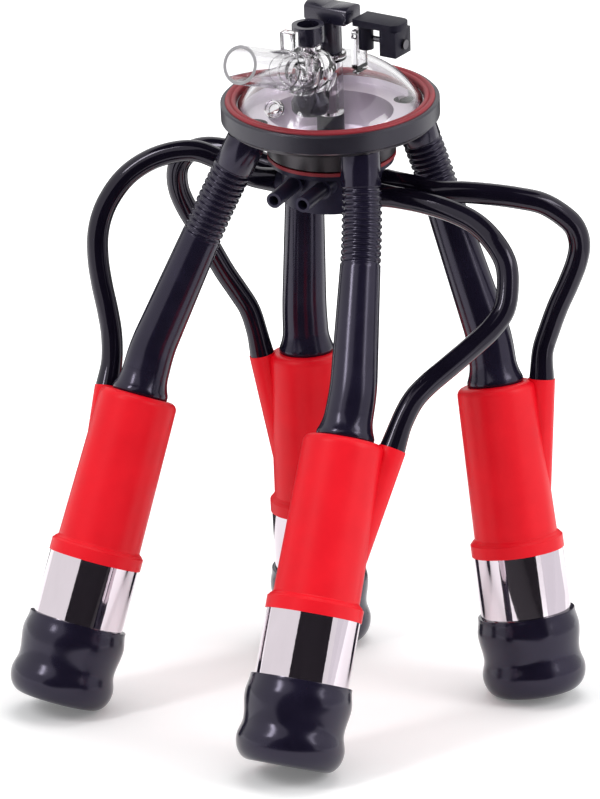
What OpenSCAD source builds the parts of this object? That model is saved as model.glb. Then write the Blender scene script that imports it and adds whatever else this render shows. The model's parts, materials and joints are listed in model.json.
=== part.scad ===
// Milking cluster: a clear claw with four teat cups, standing upside down on its rubber mouthpieces.
// Millimetres, +Z up, origin on the floor under the middle of the cluster.
// Cups are numbered 1 left, 2 front, 3 right, 4 back.

/* [Teat cup] */
// Outside diameter of the steel shell tube
shell_d = 47; // [40:0.5:57]
// Wall of the steel shell tube
shell_wall = 1; // [0.8:0.1:1.4]
// Bare steel between the mouthpiece and the sleeve
steel_show = 32.6; // [24:0.2:42]
// Length of the red sleeve with its flange
sleeve_h = 88.5; // [72:0.5:108]
// Wall of the red sleeve
sleeve_wall = 2.4; // [1.8:0.1:3.2]
// Height of the sleeve flange
flange_h = 7; // [5:0.5:9]
// Height of the rubber mouthpiece
mouth_h = 42.5; // [36:0.5:52]
// Height of the mouthpiece lip at its widest
lip_h = 11; // [8:0.5:13]
// How far the mouthpiece lip stands past the steel
lip_over = 3.5; // [2.6:0.1:5]
// Bore of the liner barrel that takes the teat
liner_bore = 22; // [18:0.5:26.5]
// Wall of the liner barrel
liner_wall = 2; // [1.5:0.1:2.6]

/* [Short milk tube] */
// Outside diameter at the ribbed neck
tube_d = 20.4; // [17:0.2:24.5]
// Bore of the short milk tube
tube_bore = 13.6; // [11:0.2:14.4]
// Outside diameter where the tube meets the cup
tube_end_d = 24.4; // [21:0.2:28]
// Number of ribs on the neck
rib_count = 12; // [8:1:16]
// Distance from rib to rib
rib_pitch = 3.4; // [2.8:0.1:4.2]
// Depth of the groove between ribs
rib_depth = 0.8; // [0.4:0.1:1.2]

/* [Short pulse tube] */
// Outside diameter of the pulse tube
pulse_d = 11.2; // [9.4:0.2:13]
// Bore of the pulse tube
pulse_bore = 7.4; // [6.2:0.1:8.8]
// Lean of the pulse nipple pocket on the sleeve
pocket_lean = 9.5; // [7:0.5:12]

/* [Claw] */
// Outside diameter of the rim ring
ring_d = 111.6; // [94:0.2:134]
// Height of the rim ring
ring_h = 10.4; // [8:0.2:13]
// Rise of the bowl above its seal
bowl_h = 22; // [18:0.5:26.5]
// Wall of the bowl
bowl_wall = 3; // [2.4:0.1:3.6]
// Diameter of the cover's well under the ring
well_d = 66; // [58:0.5:70]
// Depth of the cover's well under the ring
well_h = 16.7; // [14:0.1:20]
// Lean of each milk inlet from the claw axis
inlet_lean = [27, 23, 18, 22]; // [15:1:28]
// Turn of the inlets' lean from straight outwards
inlet_skew = -19; // [-23:1:-15]
// Diameter of the pulse distributor
distributor_d = 52; // [46:0.5:60]
// Height of the pulse distributor under its plate
distributor_h = 20.5; // [19:0.5:25]

/* [Outlet and shut-off valve] */
// Outside diameter of the milk outlet
outlet_d = 19.5; // [17:0.1:22]
// Bore of the milk outlet
outlet_bore = 16; // [13:0.1:16.4]
// Reach of the outlet mouth from the claw axis
outlet_reach = 78; // [66:0.5:94]
// Rise of the outlet above level
outlet_rise = 21.5; // [17:0.5:25]
// Lift of the shut-off valve
valve_lift = 5; // [4:0.1:5.2]

/* [Clamp handle and hanger] */
// Length of the clamp handle across its ends
handle_l = 25; // [22:0.5:27]
// Width of the clamp handle
handle_w = 13.5; // [11:0.5:14]
// Width of the hanger bracket
hanger_w = 14; // [11:0.5:17]
// Gap between the hanger's post and its block
hanger_gap = 8.4; // [6:0.1:10]

/* [Stance] */
// Place of the claw's ring centre
claw_at = [15.4, 30.1, 309]; // [-400:1:400]
// Claw tilt towards the front
claw_pitch = 11; // [0:0.5:14]
// Claw tilt to the side
claw_roll = -2; // [-5:0.5:5]
// Turn of the claw about its axis
claw_turn = -26; // [-30:1:-22]
// Turn of the bowl on the claw
bowl_turn = -8; // [-12:1:0]
// Left to right place of the mouths of the cups
mouth_x = [-125.6, -6.6, 123.9, 12.4]; // [-200:0.5:200]
// Front to back place of the mouths of the cups
mouth_y = [-12.4, -116.9, 14.1, 113.1]; // [-200:0.5:200]
// Lean of each cup from upright
cup_lean = [20, 22, 10, 4]; // [0:1:30]
// Heading towards which each mouth leans out
cup_heading = [-140, -118, -37, 40]; // [-180:1:180]
// Side of each cup that its pulse nipple is on
pocket_side = [135, 0, 0, 180]; // [-180:5:180]

/* [Hidden] */
$fn = 64;
EPS = 0.01;          // overlap of joined shapes
FIT = 0.1;           // radial clearance of pieces that sit in one another
RUN = 0.08;          // radial clearance of turning and sliding shafts
SIDES = 8;           // sides of the swept tubes
CUPS = [0 : 3];

// Colours
RED = [0.88, 0.06, 0.1];
SEAL_RED = [0.72, 0.2, 0.24];
RUBBER = [0.13, 0.12, 0.15];
BLACK = [0.07, 0.07, 0.08];
RING_GREY = [0.27, 0.26, 0.3];
STEEL = [0.78, 0.78, 0.8];
CLEAR = [0.9, 0.93, 0.95, 0.35];

// Teat cup levels and radii, from the mouth's flat face up the cup's axis
shell_r = shell_d / 2;
shell_ri = shell_r - shell_wall;
flange_z = mouth_h + steel_show;
top_z = flange_z + sleeve_h;
shoulder_z = lip_h + 5;               // steel tube's lower end inside the mouthpiece
flange_over = 0.7;
sleeve_foot_r = shell_r - 1.9;
sleeve_taper = 1.1;
sleeve_top_r = sleeve_foot_r - sleeve_taper;
sleeve_hollow_r = sleeve_top_r - sleeve_wall;
sleeve_roof = 4;
sleeve_edge = 4;                      // rounding of the sleeve's top edge
spigot_h = 12;
spigot_r = shell_ri - FIT;
groove_h = 1.8;
groove_depth = 1.5;
seal_bead = 0.72;

// Liner
lip_r = shell_r + lip_over;
lip_roll = 8;                         // width of the rounded part of the lip
mouth_flat_r = lip_r - lip_roll;
lip_hole_r = liner_bore / 2 + 0.5;
lip_thick = 3.2;
skirt_ri = shell_r + FIT;
skirt_wall = 1.8;
skirt_r = skirt_ri + skirt_wall;
bulge_r = skirt_r + 1.3;
waist_r = skirt_r - 0.2;
waist_z = lip_h + 9;
bulge_z = waist_z + (mouth_h - waist_z) * 0.58;
barrel_ri = liner_bore / 2;
barrel_r = barrel_ri + liner_wall;
chamber_r = barrel_ri + 6;
tail_r = tube_end_d / 2 - 0.9;
collar_r = tube_end_d / 2 + 2.4;
collar_h = 2.5;
bell_h = 12.5;
tube_seat = 0.05;                     // gap between the milk tube's ends and what they stand on
tube_ri = tube_bore / 2;
floor_press = 0.6;                    // how far the soft lip is flattened by the floor

// Pulse nipple pocket on the sleeve
pocket_r = pulse_d / 2 + 1.4;
pocket_out = sleeve_top_r + 3.5;
pocket_z = top_z - 0.6;
pocket_l = 75;
nipple_r = pulse_bore / 2 * cos(180 / SIDES) - 0.05;
nipple_wall = 1.2;
nipple_l = 13;

// Claw levels and radii about its axis, from the ring's middle
ring_r = ring_d / 2;
ring_top = ring_h / 2;
ring_lip = 2.3;
seal_r = ring_r - ring_lip;
seal_w = 5.6;
seal_z = ring_top - 3.2;
seal_top = ring_top + 1.3;
rim_r = ring_r - 5.8;
rim_w = 4.5;
cover_lip_r = ring_r - 2.8;
cover_lip_h = 1.6;
cover_z = -ring_top - cover_lip_h;    // underside of the cover's flange
cover_thick = 4.3;
cover_top = cover_z + cover_thick;
well_r = well_d / 2;
well_top_r = well_r + 2;
well_z = cover_z - well_h;            // underside of the well
well_wall = 3;
gasket_h = 1.8;
gasket_z = well_z - gasket_h;
inlet_r = ring_r - 12.8;
inlet_nipple_r = tube_ri * cos(180 / SIDES) - 0.05;
inlet_wall = 1.3;
inlet_l = 18;
inlet_boss_r = tube_d / 2 - 0.6;
inlet_sides = [-135, -45, 45, 135];

// Pulse distributor
plate_r = well_r - 1;
plate_h = 2.7;
body_r = distributor_d / 2;
body_z = gasket_z - plate_h - distributor_h;
body_wall = 4;
lid_h = 2.8;
lid_step = 2;
chamber_top = gasket_z - plate_h - 2;
divider = 3;
post_r = 6;
stud_r = 4;
stud_l = 9;
screw_r = 2;
screw_head_r = 4;
screw_head_h = 2.4;
screw_l = 10;
short_z = body_z + 8;
short_y = 9;
short_l = 14;
long_z = chamber_top - 2.8;
long_x = 8;
long_r = 4;
long_wall = 1.4;
long_reach = 52;
long_boss_r = 5.4;
long_boss_reach = body_r + 4;

// Bowl, column and clamp
bowl_r = ring_r - 11;
bowl_out = (bowl_r * bowl_r + bowl_h * bowl_h) / (2 * bowl_h);
bowl_in = bowl_out - bowl_wall;
bowl_top = seal_top + bowl_h;
bowl_c = bowl_top - bowl_out;
bowl_foot_r = seal_r - seal_w - FIT;   // foot of the dome, inside the seal and on the cover's rim
bowl_foot_h = 1.3;
crown_r = 9;
crown_z = bowl_top + 1.5;
column_r = 7;
boss_top = cover_top - 0.5;
bolt_r = 3;
bolt_depth = 13;
gland_h = 1.2;
stem_r = 7;
stem_z = crown_z + gland_h;
handle_z = stem_z + 16.5;
handle_h = 9.4;
handle_edge_h = 6.6;                  // height of the grip's straight sides
handle_dip = 1.6;
handle_side = 3;                      // how far the grip stands off its stem to one side
handle_grip = handle_z + 3;           // top of the bolt inside the handle

// Outlet, in the bowl's own turn
outlet_root = 25;                     // distance from the axis where the outlet's height is set
outlet_z = bowl_z(outlet_root) + 4.3;
outlet_l = (outlet_reach - outlet_root) / cos(outlet_rise);
outlet_boss_r = outlet_d / 2 + 2.9;
outlet_inner = 14;
outlet_neck = 10;                     // end of the bowl's neck, where the pipe is joined on
outlet_stop = 17.6;                   // step that stops the long milk tube
outlet_neck_r = outlet_d / 2 + 0.55;

// Shut-off valve beside the column
valve_at = column_r + 10.6;
valve_seat = outlet_z - 9.5;
valve_room_r = 10;
port_r = 7.5;
bell_r = 9.4;
bell_neck_r = 5;
bell_top = valve_seat - 1;
bell_cone_h = 8;
bell_h_all = 14;
rod_r = 2.4;
pillar_r = 6;
pillar_z = outlet_z + 12.5;
gland_r = 5.4;
gland_t = 1.7;
knob_r = 8.2;
knob_h = 8.5;
knob_z = pillar_z + gland_t + 0.3;
knob_cup_r = 5.6;
knob_floor = 3.5;
stub_turn = -98;
stub_swing = 22;                      // aim of the stub, from straight out of the bowl
stub_rise = 30;
stub_r = 4.8;
stub_bore_r = 3.2;
stub_root = 6;
stub_l = 4.5;
stub_out = bowl_r - 3.8;
stub_z = bowl_z(stub_out);
lug_at = 34.6;
lug_l = 5;
lug_w = 8;
lug_top = outlet_z + 24.5;

// Hanger, in the bowl's own turn
ear_x = 17;
ear_t = 3.4;
ear_w = 10;
ear_top = stem_z + 14.1;
hanger_x = ear_x + ear_t;
hanger_post_r = 3.8;
hanger_post_x = hanger_x + 2.85;
hanger_post_y = -0.4;
hanger_block_x = hanger_post_x + hanger_post_r + hanger_gap;
hanger_block_l = 9.4;
hanger_block_z = bowl_top + 7.3;
hanger_out = hanger_block_x + hanger_block_l;
hanger_under = stem_z + 17.8;
hanger_plate_h = 3.5;
hanger_round = 5;
hanger_screw_z = bowl_top + 12.6;
hanger_screw_y = 1;
hanger_screw_r = 1.5;
hanger_head_r = 2.5;
hanger_head_h = 1.2;

// Middle points of the four pulse tubes, from the claw to the cup, in place
PULSE_ROUTES = [
    [[-34, 54, 273], [-44, 57, 278], [-54, 59, 281], [-65, 61, 280], [-77, 62, 276],
     [-88, 62, 269], [-96, 62, 260], [-102, 62, 249], [-105, 61, 237], [-105, 59, 224],
     [-103, 56, 211], [-100, 52, 198], [-98, 49, 186]],
    [[62, 7, 264], [76, 0, 261], [88, -6, 256], [97, -12, 248], [103, -17, 238],
     [104, -22, 227], [102, -27, 216], [95, -32, 207], [85, -38, 199], [74, -44, 191],
     [63, -50, 183], [56, -54, 176]],
    [[70, 22, 267], [84, 19, 267], [98, 18, 266], [111, 19, 264], [123, 21, 261],
     [133, 23, 255], [140, 25, 248], [143, 27, 239], [142, 29, 229], [138, 31, 217],
     [133, 32, 205], [129, 33, 193]],
    [[-27, 70, 276], [-39, 75, 279], [-50, 80, 279], [-59, 84, 275], [-64, 87, 267],
     [-64, 90, 256], [-60, 93, 245], [-54, 96, 234], [-47, 99, 221], [-40, 102, 208],
     [-33, 104, 197], [-27, 105, 187]]
];
pulse_grip = nipple_l + 1;            // straight stretch of a pulse tube over a nipple

// Rotations of points
function rot_x(a, p) = [p.x, p.y * cos(a) - p.z * sin(a), p.y * sin(a) + p.z * cos(a)];
function rot_y(a, p) = [p.x * cos(a) + p.z * sin(a), p.y, p.z * cos(a) - p.x * sin(a)];
function rot_z(a, p) = [p.x * cos(a) - p.y * sin(a), p.x * sin(a) + p.y * cos(a), p.z];

// Directions and points of the claw and of a cup, in place
function claw_dir(p) = rot_y(claw_roll, rot_x(claw_pitch, rot_z(claw_turn, p)));
function claw_point(p) = claw_at + claw_dir(p);
function cup_dir(i, p) = rot_z(cup_heading[i], rot_y(-cup_lean[i], rot_z(-cup_heading[i], p)));
function cup_point(i, p) = [mouth_x[i], mouth_y[i], mouth_z(cup_lean[i])] + cup_dir(i, p);

// Height of a leaning mouth whose rounded lip is pressed a little into the floor
function mouth_z(a) = mouth_flat_r * sin(a) - lip_h * cos(a) - floor_press
    + sqrt(pow(lip_h * cos(a), 2) + pow(lip_roll * sin(a), 2));

// Length of an inlet's boss below the cover
function inlet_drop(i) = inlet_boss_r * tan(inlet_lean[i]) + 0.6;

// Height of the bowl's outside at a distance from the axis
function bowl_z(r) = bowl_c + sqrt(bowl_out * bowl_out - r * r);

// Outlines: an arc about a centre, an eased step from one point to another, and a flare that ends upright
function arc(c, rx, ry, a, b, n) =
    [for (k = [0 : n]) let (t = a + (b - a) * k / n) c + [rx * cos(t), ry * sin(t)]];
function ease(p, q, n) =
    [for (k = [1 : n]) let (t = k / n) [p.x + (q.x - p.x) * (1 - cos(180 * t)) / 2, p.y + (q.y - p.y) * t]];
function flare(p, q, n) =
    [for (k = [1 : n]) let (t = k / n) [q.x + (p.x - q.x) * pow(1 - t, 2), p.y + (q.y - p.y) * t]];

// Routes: unit vectors, directions along a route and normals carried along it without twist
function unit(v) = v / norm(v);
function headings(p) = [for (i = [0 : len(p) - 1]) unit(p[min(i + 1, len(p) - 1)] - p[max(i - 1, 0)])];
function carried(t, n, i = 0) =
    i == len(t) ? [] : let (m = unit(n - t[i] * (n * t[i]))) concat([m], carried(t, m, i + 1));
function rounded(c, u, v, reach, t) = c - reach * pow(1 - t, 2) * u + reach * t * t * v;

// Points of the rings of a swept tube, one radius to a ring
function rings(p, radii, first) =
    let (t = headings(p), n = carried(t, first))
    [for (i = [0 : len(p) - 1]) for (k = [0 : SIDES - 1])
        let (a = 360 * k / SIDES) p[i] + radii[i] * (cos(a) * n[i] + sin(a) * cross(t[i], n[i]))];

// Triangles of a band of rings, turned outwards or inwards
function band(start, count, flip) =
    [for (i = [0 : count - 2]) for (k = [0 : SIDES - 1])
        let (a = start + i * SIDES + k, b = start + i * SIDES + (k + 1) % SIDES, c = a + SIDES, d = b + SIDES)
        each flip ? [[a, b, d], [a, d, c]] : [[a, d, b], [a, c, d]]];

// Triangles of the flat end between an outer and an inner ring
function end_ring(outer, inner, flip) =
    [for (k = [0 : SIDES - 1])
        let (j = (k + 1) % SIDES, a = outer + k, b = outer + j, c = inner + k, d = inner + j)
        each flip ? [[a, d, b], [a, c, d]] : [[a, b, d], [a, d, c]]];

// Hollow tube swept along one route, with its own rings outside and inside
module swept_tube(route, radii, bore_route, bore_r) {
    first = abs(unit(route[1] - route[0]).z) < 0.9 ? [0, 0, 1] : [1, 0, 0];
    bore_radii = [for (p = bore_route) bore_r];
    n = len(route);
    m = len(bore_route);
    inner = n * SIDES;
    polyhedron(
        points = concat(rings(route, radii, first), rings(bore_route, bore_radii, first)),
        faces = concat(
            band(0, n, false), band(inner, m, true),
            end_ring(0, inner, false), end_ring((n - 1) * SIDES, inner + (m - 1) * SIDES, true)));
}

// Places
module at_claw() {
    translate(claw_at) rotate([claw_pitch, claw_roll, 0]) rotate([0, 0, claw_turn]) children();
}

module at_bowl() {
    at_claw() rotate([0, 0, bowl_turn]) children();
}

module at_cup(i) {
    translate([mouth_x[i], mouth_y[i], mouth_z(cup_lean[i])])
        rotate([0, 0, cup_heading[i]]) rotate([0, -cup_lean[i], 0]) rotate([0, 0, -cup_heading[i]])
            children();
}

// Place of a milk inlet on the cover, its Z running up into the claw
module at_inlet(i) {
    rotate([0, 0, inlet_sides[i]]) translate([inlet_r, 0, cover_z])
        rotate([0, 0, inlet_skew]) rotate([0, -inlet_lean[i], 0]) children();
}

// Place of the outlet's axis, its Z running out of the bowl
module at_outlet() {
    translate([0, -outlet_root, outlet_z]) rotate([90 - outlet_rise, 0, 0]) children();
}

// Place of the blank stub on the dome, its Z running out of the bowl
module at_stub() {
    rotate([0, 0, stub_turn]) translate([stub_out, 0, stub_z]) rotate([0, 0, stub_swing])
        rotate([0, 90 - stub_rise, 0]) children();
}

// Place of the hanger's screw, its Z running out along the hanger
module at_hanger_screw() {
    translate([0, hanger_screw_y, hanger_screw_z]) rotate([0, 90, 0]) children();
}

// Place of the pulse nipple on a sleeve, its Z running out of the pocket
module at_pocket(side) {
    rotate([0, 0, side]) translate([pocket_out, 0, pocket_z]) rotate([0, pocket_lean, 0]) children();
}

// Tube along Z from one level to another
module pipe(r, ri, z0, z1) {
    translate([0, 0, z0]) difference() {
        cylinder(r = r, h = z1 - z0);
        translate([0, 0, -1]) cylinder(r = ri, h = z1 - z0 + 2);
    }
}

// Round rod along Z from one level to another
module rod(r, z0, z1) {
    translate([0, 0, z0]) cylinder(r = r, h = z1 - z0);
}

// Liner: mouthpiece folded over the steel, barrel inside, and the bell that seats on the sleeve
module liner_body() {
    outline = concat(
        [[lip_hole_r, 1.2], [lip_hole_r + 1.5, 0]],
        arc([mouth_flat_r, lip_h], lip_roll, lip_h, -90, 0, 8),
        ease([lip_r, lip_h], [waist_r, waist_z], 6),
        ease([waist_r, waist_z], [bulge_r, bulge_z], 6),
        ease([bulge_r, bulge_z], [skirt_r, mouth_h], 4),
        [[skirt_ri, mouth_h], [skirt_ri, shoulder_z], [barrel_r + 4, shoulder_z],
         [barrel_r, shoulder_z + 10], [barrel_r, top_z - 24], [tail_r, top_z - 12], [tail_r, top_z],
         [collar_r, top_z], [collar_r, top_z + collar_h]],
        flare([collar_r, top_z + collar_h], [tube_end_d / 2, top_z + bell_h], 6),
        [[tube_ri, top_z + bell_h], [tube_ri, top_z - 8], [barrel_ri, top_z - 30],
         [barrel_ri, lip_h + 9], [chamber_r, lip_h + 1], [chamber_r, lip_thick + 1],
         [lip_hole_r, lip_thick]]);
    rotate_extrude() polygon(outline);
}

module liner(i) {
    floor_w = 4 * lip_r;
    color(RUBBER) difference() {
        at_cup(i) liner_body();
        translate([mouth_x[i] - floor_w / 2, mouth_y[i] - floor_w / 2, -20]) cube([floor_w, floor_w, 20]);
    }
}

module shell_tube(i) {
    color(STEEL) at_cup(i) pipe(shell_r, shell_ri, shoulder_z, flange_z);
}

module shell_seal(i) {
    groove_z = flange_z - spigot_h / 2;
    color(SEAL_RED) at_cup(i) translate([0, 0, groove_z])
        rotate_extrude() translate([spigot_r - groove_depth + seal_bead + 0.03, 0])
            circle(seal_bead, $fn = 24);
}

module shell_sleeve(i) {
    flange_r = shell_r + flange_over;
    groove_z = flange_z - spigot_h / 2;
    profile = concat(
        [[0, flange_z - spigot_h], [spigot_r, flange_z - spigot_h],
         [spigot_r, groove_z - groove_h / 2], [spigot_r - groove_depth, groove_z - groove_h / 2],
         [spigot_r - groove_depth, groove_z + groove_h / 2], [spigot_r, groove_z + groove_h / 2],
         [spigot_r, flange_z], [flange_r, flange_z], [flange_r, flange_z + flange_h - 0.8],
         [flange_r - 0.8, flange_z + flange_h]],
        ease([flange_r - 0.8, flange_z + flange_h], [sleeve_foot_r, flange_z + flange_h + 2], 3),
        arc([sleeve_top_r - sleeve_edge, top_z - sleeve_edge], sleeve_edge, sleeve_edge, 0, 90, 6),
        [[0, top_z]]);
    color(RED) at_cup(i) difference() {
        union() {
            rotate_extrude() polygon(profile);
            at_pocket(pocket_side[i]) rod(pocket_r, -pocket_l, 0);
            at_pocket(pocket_side[i]) rod(nipple_r, -1, nipple_l);
        }
        rod(sleeve_hollow_r, flange_z - spigot_h - 1, top_z - sleeve_roof);
        rod(tail_r + FIT, top_z - sleeve_roof - 1, top_z + 1);
        at_pocket(pocket_side[i]) rod(nipple_r - nipple_wall, -pocket_l * 0.56, nipple_l + 1);
    }
}

// Short milk tube: ribbed neck over the inlet, then a taper down to the cup's bell
module milk_tube(i) {
    side = inlet_sides[i];
    out = rot_z(side + inlet_skew, [sin(inlet_lean[i]), 0, -cos(inlet_lean[i])]);
    start = claw_point(rot_z(side, [inlet_r, 0, cover_z]) + (inlet_drop(i) + tube_seat) * out);
    down = claw_dir(out);
    stop = cup_point(i, [0, 0, top_z + bell_h + tube_seat]);
    up = cup_dir(i, [0, 0, 1]);
    lead = tube_d;
    tail = 5;
    neck_round = tube_d * 0.7;
    foot_round = tube_d * 0.35;
    neck = lead + neck_round;
    foot = tail + foot_round;
    neck_at = start + neck * down;
    foot_at = stop + foot * up;
    across = unit(foot_at - neck_at);
    total = neck + norm(foot_at - neck_at) + foot;
    rib_from = tube_d * 0.75;
    rib_to = rib_from + rib_count * rib_pitch;
    bend_from = total - foot - foot_round;
    bend_to = total - tail;
    function along(s) = s <= lead ? start + s * down
        : s < neck + neck_round
            ? rounded(neck_at, down, across, neck_round, (s - lead) / neck_round / 2)
        : s <= bend_from ? neck_at + (s - neck) * across
        : s < bend_to ? rounded(foot_at, across, -up, foot_round, (s - bend_from) / foot_round / 2)
        : stop + (total - s) * up;
    ribs = [for (k = [0 : rib_count - 1]) each [
        [rib_from + (k + 0.25) * rib_pitch, tube_d / 2 - rib_depth],
        [rib_from + (k + 0.75) * rib_pitch, tube_d / 2]]];
    bend_steps = 4;
    places = [rib_to, (rib_to + bend_from) / 2,
        for (k = [0 : bend_steps]) bend_from + (bend_to - bend_from) * k / bend_steps, total];
    plain = [for (s = places)
        [s, (tube_d + (tube_end_d - tube_d) * (s - rib_to) / (total - rib_to)) / 2]];
    stations = concat([for (s = [0, rib_from]) [s, tube_d / 2]], ribs, plain);
    bore_steps = 10;
    bores = [0, for (k = [0 : bore_steps]) lead + (bend_to - lead) * k / bore_steps, total];
    color(RUBBER) swept_tube(
        [for (s = stations) along(s[0])], [for (s = stations) s[1]],
        [for (s = bores) along(s)], tube_ri);
}

// Short pulse tube from a distributor nipple to the pocket of a cup
module pulse_tube(i) {
    east = i == 1 || i == 2 ? 1 : -1;
    north = i >= 2 ? 1 : -1;
    from = claw_point([east * body_r, north * short_y, short_z]);
    leave = claw_dir([east, 0, 0]);
    nose = rot_z(pocket_side[i], [sin(pocket_lean), 0, cos(pocket_lean)]);
    to = cup_point(i, rot_z(pocket_side[i], [pocket_out, 0, pocket_z]));
    arrive = cup_dir(i, nose);
    route = concat([from, from + pulse_grip * leave], PULSE_ROUTES[i], [to + pulse_grip * arrive, to]);
    color(BLACK) swept_tube(route, [for (p = route) pulse_d / 2], route, pulse_bore / 2);
}

// Rim ring round the cover, with a step that takes the seal
module rim_ring() {
    outline = [[rim_r + FIT, -ring_top], [ring_r - 1.2, -ring_top], [ring_r, -ring_top + 1.2],
        [ring_r, ring_top - 0.8], [ring_r - 0.8, ring_top], [seal_r + FIT, ring_top],
        [seal_r + FIT, seal_z], [rim_r + FIT, seal_z]];
    color(RING_GREY) at_claw() rotate_extrude() polygon(outline);
}

module rim_seal() {
    bead = seal_w / 4;
    outline = concat(
        [[seal_r - seal_w, seal_z], [seal_r, seal_z]],
        arc([seal_r - bead, seal_top - bead], bead, bead, 0, 150, 6),
        arc([seal_r - 3 * bead, seal_top - bead - 0.3], bead, bead, 30, 180, 6));
    color(SEAL_RED) at_claw() rotate_extrude() polygon(outline);
}

// Lower cover: rim and flange inside the ring, a well in the middle and bosses for the milk inlets
module lower_cover() {
    outline = [[0, well_z], [well_r - 1, well_z], [well_r, well_z + 1], [well_top_r, cover_z],
        [cover_lip_r, cover_z], [cover_lip_r, -ring_top], [rim_r, -ring_top], [rim_r, seal_z],
        [rim_r - rim_w, seal_z], [rim_r - rim_w, cover_top], [well_top_r - well_wall, cover_top],
        [well_r - well_wall, well_z + well_wall], [0, well_z + well_wall]];
    boss_up = ring_h;
    color(STEEL) at_claw() difference() {
        union() {
            rotate_extrude() polygon(outline);
            for (i = CUPS) intersection() {
                at_inlet(i) rod(inlet_boss_r, -inlet_drop(i), boss_up);
                rod(2 * ring_r, cover_z - ring_d, -ring_top);
            }
        }
        for (i = CUPS) at_inlet(i) rod(inlet_nipple_r + 0.05, -inlet_drop(i) - 1, boss_up);
        rod(stud_r + FIT, well_z - 1, well_z + well_wall + 1);
    }
}

module milk_inlet(i) {
    color(STEEL) at_claw() at_inlet(i)
        pipe(inlet_nipple_r, inlet_nipple_r - inlet_wall, -inlet_drop(i) - inlet_l, cover_thick);
}

module cover_gasket() {
    color(SEAL_RED) at_claw() pipe(well_r, stud_r + FIT, gasket_z, well_z);
}

// Pulse distributor: two chambers side by side, two long nipples in front and two short ones each side
module pulse_distributor() {
    lid_z = body_z + lid_h;
    room_r = body_r - body_wall;
    room_h = chamber_top - lid_z;
    color(BLACK) at_claw() difference() {
        union() {
            rod(plate_r, gasket_z - plate_h, gasket_z);
            rod(body_r, body_z, gasket_z - plate_h + EPS);
            for (x = [-long_x, long_x]) translate([x, 0, long_z]) rotate([90, 0, 0]) {
                rod(long_boss_r, room_r - 6, long_boss_reach);
                rod(long_r, room_r - 6, long_reach);
            }
            for (x = [-1, 1], y = [-short_y, short_y]) translate([0, y, short_z]) rotate([0, 90 * x, 0]) {
                rod(pulse_d / 2 + 0.6, room_r - 4, body_r);
                rod(nipple_r, room_r - 4, body_r + short_l - 1);
            }
        }
        difference() {
            rod(room_r, lid_z - EPS, chamber_top);
            translate([-divider / 2, -body_r, body_z]) cube([divider, 2 * body_r, distributor_h]);
            rod(post_r, body_z, chamber_top);
        }
        rod(room_r + lid_step, body_z - 1, lid_z);
        rod(stud_r + FIT, gasket_z - plate_h - stud_l, gasket_z + 1);
        rod(screw_r + 0.05, body_z - 1, lid_z + screw_l);
        for (x = [-long_x, long_x]) translate([x, 0, long_z]) rotate([90, 0, 0])
            rod(long_r - long_wall, room_r - 9, long_reach + 1);
        for (x = [-1, 1], y = [-short_y, short_y]) translate([0, y, short_z]) rotate([0, 90 * x, 0])
            rod(nipple_r - nipple_wall, room_r - 7, body_r + short_l);
    }
}

module distributor_lid() {
    color(BLACK) at_claw()
        pipe(body_r - body_wall + lid_step - FIT, screw_r + FIT, body_z, body_z + lid_h);
}

module lid_screw() {
    color(STEEL) at_claw() {
        rod(screw_head_r, body_z - screw_head_h, body_z);
        rod(screw_r, body_z - EPS, body_z + lid_h + screw_l - 1);
    }
}

// Boss in the well: its stud goes down through the cover into the distributor
module centre_boss() {
    floor_z = well_z + well_wall;
    color(BLACK) at_claw() difference() {
        union() {
            rod(column_r, floor_z, boss_top);
            rod(stud_r, gasket_z - plate_h - stud_l + 1, floor_z + EPS);
        }
        rod(bolt_r + RUN, boss_top - bolt_depth - 1, boss_top + 1);
    }
}

module clamp_bolt() {
    color(STEEL) at_claw() rod(bolt_r, boss_top - bolt_depth, handle_grip);
}

// Clamp handle: round stem and a round-backed grip with a saddle along it
module clamp_handle() {
    half = handle_l / 2;
    crest = handle_z + handle_h;
    saddle = concat(
        [[-half, handle_z + 1], [-half + 1, handle_z], [half - 1, handle_z], [half, handle_z + 1]],
        [for (k = [0 : 12]) let (t = k / 6 - 1)
            [-half * t, crest - handle_dip * (1 + cos(180 * t)) / 2]]);
    back = concat(
        [[-handle_w / 2, handle_z - 1], [handle_w / 2, handle_z - 1]],
        arc([0, handle_z + handle_edge_h], handle_w / 2, handle_h - handle_edge_h, 0, 180, 12));
    color(BLACK) at_bowl() difference() {
        union() {
            rod(stem_r, stem_z, handle_z + EPS);
            translate([handle_side, 0, 0]) intersection() {
                rotate([90, 0, 0]) linear_extrude(handle_w + 2, center = true) polygon(saddle);
                rotate([90, 0, 90]) linear_extrude(handle_l + 2, center = true) polygon(back);
            }
        }
        rod(bolt_r + 0.02, stem_z - 1, handle_grip);
    }
}

module bolt_seal() {
    color(RUBBER) at_claw() pipe(stem_r, bolt_r + RUN, crown_z, stem_z);
}

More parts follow.
